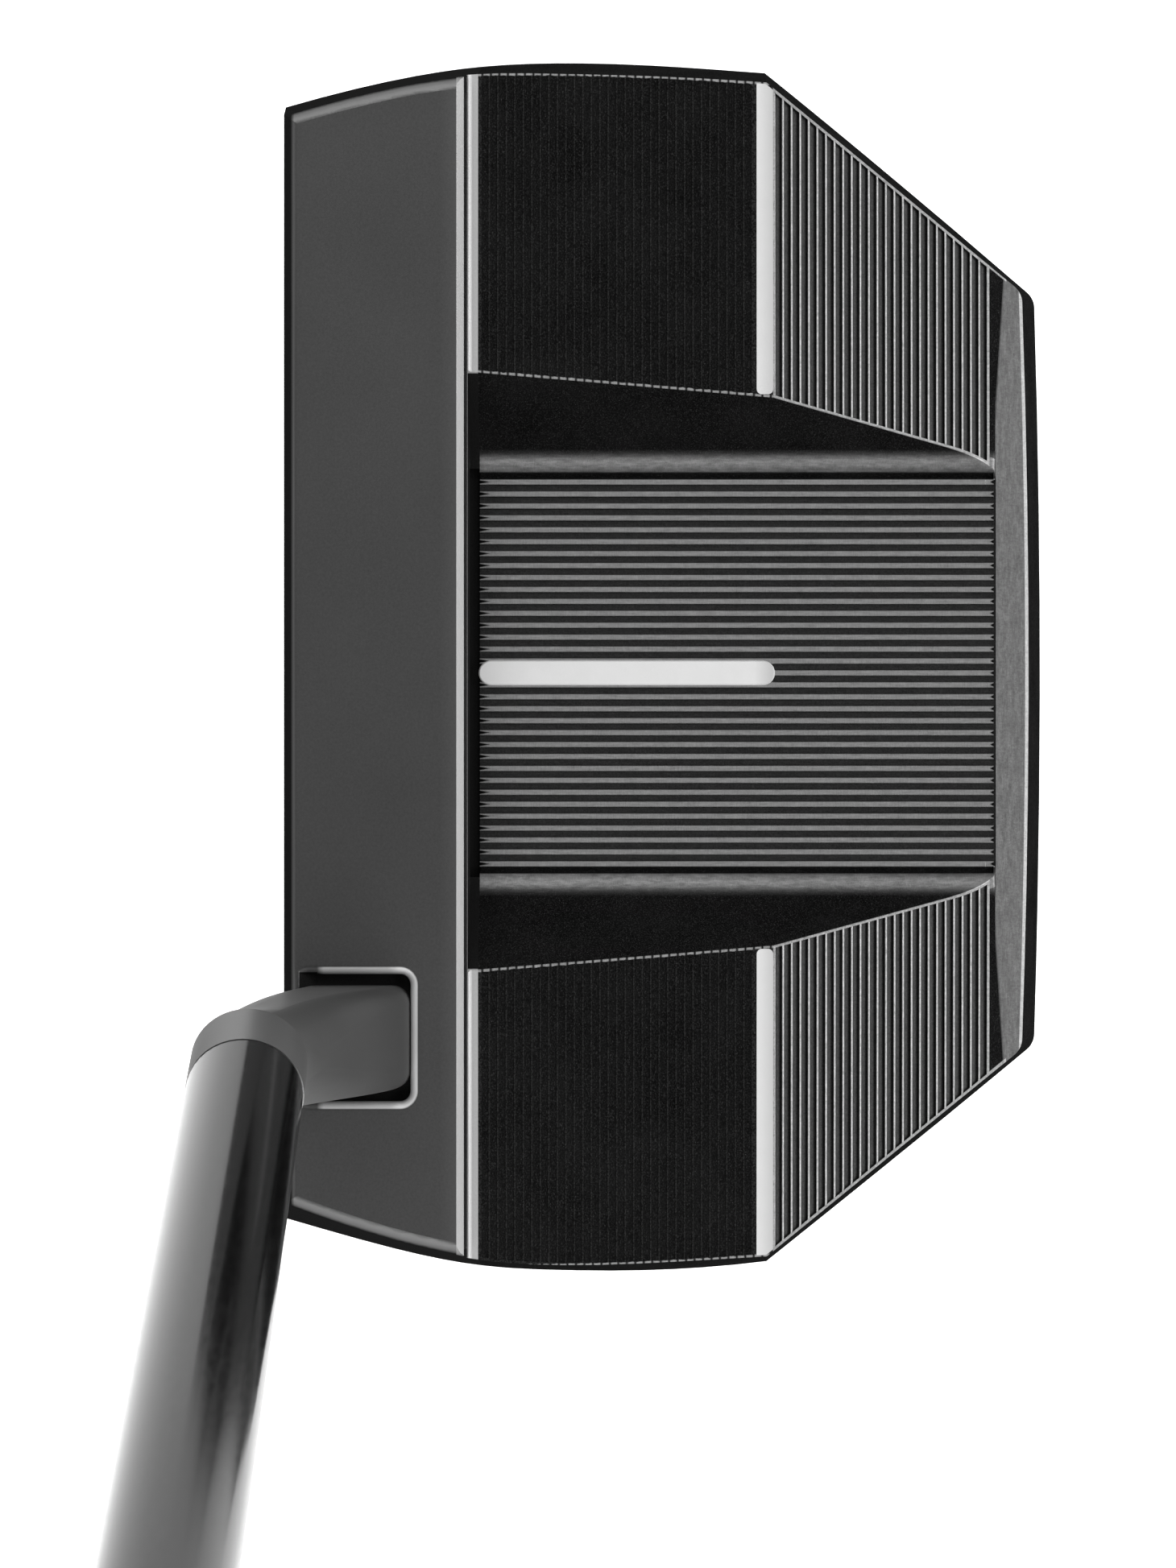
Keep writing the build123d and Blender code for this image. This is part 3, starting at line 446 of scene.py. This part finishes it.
def filled_paint(name, level):
    """Thick white paint fill: slightly uneven, a little soiled, with painted shade behind the cross
    stripes' middle.
    """
    g = Graph(name)
    uneven = g.noise(1.4, detail=3.0)
    dust = g.noise(0.15, detail=2.0)
    y = g.millimetres()[1]
    # painted shade across the cross stripes, darker towards their rear edges
    shade = g.above(y, (STRIPE_FRONT_Y + STRIPE_REAR_Y) / 2, STRIPE_REAR_Y - STRIPE_FRONT_Y)
    soil = g.plus(g.times(uneven, 0.6), g.times(dust, 0.4))
    paint = g.blend(soil, grey(level * 0.92), grey(level * 1.04))
    return g.finish(
        Base_Color=g.blend(shade, paint, grey(level * STRIPE_SHADE)),
        Roughness=g.span(uneven, 0.28, 0.4),
        Normal=g.bump(uneven, 0.02),
    )


def soft_black(name, level, roughness, pore):
    """Moulded rubber, foam or nylon with a pored skin."""
    g = Graph(name)
    pores = g.noise(pore, detail=3.0, rough=0.6)
    scuff = g.noise(pore * 30, detail=3.0)
    return g.finish(
        Base_Color=g.blend(scuff, grey(level * 0.8), grey(level * 1.5)),
        Roughness=g.span(scuff, roughness - 0.08, roughness + 0.08),
        Normal=g.bump(pores, pore * 0.3),
    )


# ---------------------------------------------------------------- grip
GRIP_LENGTH = 267.0
HOLD_BELOW_BUTT = 110.0     # the grip's mount, below its upper end
GRIP_STATIONS = [           # distance from the grip's lower end, width, height
    (0, 20.6, 20.6), (40, 21.6, 21.8), (120, 24.5, 23.2), (200, 27.6, 26.0), (250, 28.6, 28.4),
    (GRIP_LENGTH, 28.4, 28.6),
]
THUMB_SHARE = 0.45
THUMB_FLAT = 0.62
SHOULDER_DROP = 0.42
EDGE_MIDDLE = (0.90, 0.13)
FLANK_MIDDLE = (0.70, 0.62)
MOUTH_RADIUS = 7.4
MOUTH_HEIGHT = (0.6, 2.4)   # the mouth's lower edge and its inner end
CORE_RADIUS = 9.2
CORE_FOOT = 3.0
GRIP_ROWS = 540
FLAT_STEPS = 26
CORNER_STEPS = 8
FLANK_STEPS = 32
PLAIN_END = 14.0            # smooth band at each end of the pattern
HATCH_PITCH = 5.2
HATCH_TURNS = 9             # how many hatch pitches the pattern climbs once round
HATCH_WIDTH = 0.8           # half width of a groove
HATCH_DEPTH = 0.34
DASH_PITCH = 4.0
DASH_WIDTH = 0.75
DASH_DEPTH = 0.38
RING_WIDTH = 0.7            # half width of the groove round the grip in each plain end
RING_SHIFT = 2.0            # that groove's distance from the pattern
LIP = (1.2, 1.1)            # length and depth of the rounded lower lip


def arc_through(first, middle, last, steps):
    """Points from first to last, without last, on the circle through middle."""
    (ax, ay), (bx, by), (cx, cy) = first, middle, last
    twice = 2 * (ax * (by - cy) + bx * (cy - ay) + cx * (ay - by))
    a2, b2, c2 = ax * ax + ay * ay, bx * bx + by * by, cx * cx + cy * cy
    centre = Vector(((a2 * (by - cy) + b2 * (cy - ay) + c2 * (ay - by)) / twice,
                     (a2 * (cx - bx) + b2 * (ax - cx) + c2 * (bx - ax)) / twice))
    start = Vector(first) - centre
    halfway, end = Vector(middle) - centre, Vector(last) - centre
    turn = start.angle_signed(halfway) + halfway.angle_signed(end)
    points = []
    for step in range(steps):
        angle = math.atan2(start.y, start.x) - turn * step / steps
        aside, up = start.length * math.cos(angle), start.length * math.sin(angle)
        points.append((centre.x + aside, centre.y + up))
    return points


def grip_outline(width, height):
    """Pistol section: thumb flat, rounded flanks, narrow back, as in the CAD."""
    half = width / 2
    front = height * THUMB_SHARE
    back = height - front
    flat = half * THUMB_FLAT
    shoulder = front - half * SHOULDER_DROP
    edge_middle = (half * EDGE_MIDDLE[0], front - half * EDGE_MIDDLE[1])
    flank_middle = (half * FLANK_MIDDLE[0], -back * FLANK_MIDDLE[1])
    flat_points = [(-flat + 2 * flat * step / FLAT_STEPS, front) for step in range(FLAT_STEPS)]
    right = arc_through((flat, front), edge_middle, (half, shoulder), CORNER_STEPS)
    right += arc_through((half, shoulder), flank_middle, (0, -back), FLANK_STEPS)
    left = arc_through((0, -back), (-flank_middle[0], flank_middle[1]), (-half, shoulder), FLANK_STEPS)
    left += arc_through((-half, shoulder), (-edge_middle[0], edge_middle[1]), (-flat, front), CORNER_STEPS)
    return flat_points + right + left


def grip_size(at):
    """Width and height at a distance from the lower end, in line between stations."""
    for low, high in zip(GRIP_STATIONS, GRIP_STATIONS[1:]):
        if at <= high[0]:
            share = (at - low[0]) / (high[0] - low[0])
            return low[1] + (high[1] - low[1]) * share, low[2] + (high[2] - low[2]) * share
    return GRIP_STATIONS[-1][1:]


def groove(distance, half_width):
    """1 at the middle of a groove, 0 past its edges."""
    reach = min(abs(distance) / half_width, 1.0)
    return 0.5 + 0.5 * math.cos(math.pi * reach)


def to_nearest(value, pitch):
    """Distance from value to the nearest multiple of pitch."""
    return (value + pitch / 2) % pitch - pitch / 2


def grip_depth(at, girth, whole, column):
    """How deep the pattern is at a place along and round the grip."""
    from_end = min(at, GRIP_LENGTH - at)
    ring = groove(from_end - PLAIN_END + RING_SHIFT, RING_WIDTH) * HATCH_DEPTH
    if from_end < PLAIN_END:
        return ring
    if column <= FLAT_STEPS:
        from_edge = min(column, FLAT_STEPS - column)
        inside = min(max((from_edge - 2) / 2, 0.0), 1.0)
        return inside * DASH_DEPTH * groove(to_nearest(at, DASH_PITCH), DASH_WIDTH)
    start = FLAT_STEPS + CORNER_STEPS
    from_edge = min(column - start, 2 * FLANK_STEPS + FLAT_STEPS + CORNER_STEPS - column)
    inside = min(max(from_edge / 2, 0.0), 1.0)
    turn = girth / whole * HATCH_PITCH * HATCH_TURNS
    left = groove(to_nearest(at + turn, HATCH_PITCH), HATCH_WIDTH)
    right = groove(to_nearest(at - turn, HATCH_PITCH), HATCH_WIDTH)
    return inside * HATCH_DEPTH * max(left, right)


def make_grip():
    """Rubber grip with dashes on its thumb flat and a diagonal hatch round its back."""
    mount = next(m for m in frame["record"]["mounts"] if m["name"] == "grip_hold")
    axis = Vector(mount["axis"]).normalized()
    side = Vector((0, 1, 0))
    thumb = axis.cross(side)
    foot = Vector(mount["pos_m"]) + axis * (HOLD_BELOW_BUTT - GRIP_LENGTH) * MM
    count = FLAT_STEPS + 2 * (CORNER_STEPS + FLANK_STEPS)

    def ring(at, outline):
        return [foot + (side * u + thumb * v + axis * at) * MM for u, v in outline]

    def circle(at, radius):
        outline = grip_outline(*grip_size(at))
        shares = [radius / math.hypot(u, v) for u, v in outline]
        return ring(at, [(u * share, v * share) for (u, v), share in zip(outline, shares)])

    rings = [circle(MOUTH_HEIGHT[0], MOUTH_RADIUS)]
    for row in range(GRIP_ROWS + 1):
        at = GRIP_LENGTH * row / GRIP_ROWS
        outline = grip_outline(*grip_size(at))
        steps = [math.dist(outline[k], outline[(k + 1) % count]) for k in range(count)]
        whole = sum(steps)
        girth = 0.0
        lip = LIP[1] * (1 - math.sqrt(min(at / LIP[0], 1.0)))
        moved = []
        for column, (u, v) in enumerate(outline):
            before, after = outline[column - 1], outline[(column + 1) % count]
            normal = Vector((before[1] - after[1], after[0] - before[0])).normalized()
            sunk = lip + grip_depth(at, girth, whole, column)
            moved.append((u - normal.x * sunk, v - normal.y * sunk))
            girth += steps[column]
        rings.append(ring(at, moved))
    rings += [circle(GRIP_LENGTH, CORE_RADIUS), circle(CORE_FOOT, CORE_RADIUS)]
    rings.append(circle(MOUTH_HEIGHT[1], MOUTH_RADIUS))
    points = [point for one in rings for point in one]
    faces = []
    for row in range(len(rings)):
        low, high = row * count, (row + 1) % len(rings) * count
        for column in range(count):
            beside = (column + 1) % count
            faces.append((low + column, high + column, high + beside, low + beside))
    mesh = bpy.data.meshes.new("grip_rubber")
    mesh.from_pydata(points, [], faces)
    mesh.validate()
    mesh.shade_smooth()
    grip = bpy.data.objects.new("grip_rubber", mesh)
    bpy.context.scene.collection.objects.link(grip)
    return grip


def dress(material, *names):
    """Give CAD nodes a material."""
    for name in names:
        nodes[name].data.materials.clear()
        nodes[name].data.materials.append(material)


dress(bar_finish(), "front_bar")
dress(body_finish(), "rear_body")
dress(satin_metal("neck_satin", 0.2, 0.27, 0.4, edge_tint=0.3), "hosel_neck")
dress(milled_face(), "face_insert")
dress(soft_black("backing_rubber", 0.03, 0.8, 0.3), "insert_backing")
dress(filled_paint("white_fill", 0.53), "sight_line", "toe_stripe", "heel_stripe")
dress(black_chrome(), "shaft")
dress(filled_paint("epoxy", 0.3), "shaft_epoxy")
dress(soft_black("tape", 0.4, 0.9, 0.3), "grip_tape")
dress(soft_black("grip_foam", 0.06, 0.9, 0.5), "grip_core")
grip = make_grip()
grip.data.materials.append(soft_black("grip_rubber", 0.02, 0.62, 0.25))
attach(grip, "club")
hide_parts("grip_skin")
dress(soft_black("grip_plastic", 0.025, 0.5, 0.4), "grip_cap")
dress(satin_metal("weight_steel", 0.3, 0.42, 0.3, grain=0.2), "toe_weight", "heel_weight")
dress(soft_black("washer_nylon", 0.04, 0.5, 0.2), "toe_weight_washer", "heel_weight_washer")

# ---------------------------------------------------------------- floor and light
FLOOR_SIZE = 12.0
GROUND_Z = -0.008           # clear of the sole weights when they are wound right out
FLOOR_GLOW = 0.75
WORLD_LIGHT = 0.42
HEAD = (0.0, 0.0, 0.02)     # what the lights aim at
bpy.ops.mesh.primitive_plane_add(size=FLOOR_SIZE, location=(0, 0, GROUND_Z))
floor = bpy.context.object
floor.name = "floor"
floor_graph = Graph("floor_pale")
floor.data.materials.append(floor_graph.finish(
    Base_Color=grey(0.9),
    Roughness=0.9,
    Emission_Color=grey(1.0),
    Emission_Strength=FLOOR_GLOW,
))


def softbox(name, location, target, size, power):
    """Rectangular area light aimed at a point."""
    data = bpy.data.lights.new(name, "AREA")
    data.shape = "RECTANGLE"
    data.size, data.size_y = size
    data.energy = power
    light = bpy.data.objects.new(name, data)
    bpy.context.scene.collection.objects.link(light)
    light.location = location
    aim = Vector(target) - Vector(location)
    light.rotation_euler = aim.to_track_quat("-Z", "Y").to_euler()


world = bpy.data.worlds.new("studio")
bpy.context.scene.world = world
world.use_nodes = True
world.node_tree.nodes["Background"].inputs["Color"].default_value = (1, 1, 1, 1)
world.node_tree.nodes["Background"].inputs["Strength"].default_value = WORLD_LIGHT
softbox("rear_light", (0.0, 0.75, 0.6), HEAD, (1.3, 0.4), 6)
softbox("low_rear_light", (0.0, 0.95, 0.16), HEAD, (1.4, 0.25), 5)
softbox("toe_light", (-0.62, -0.05, 0.62), HEAD, (0.7, 0.25), 4)
softbox("heel_light", (0.62, -0.05, 0.62), HEAD, (0.7, 0.25), 4)
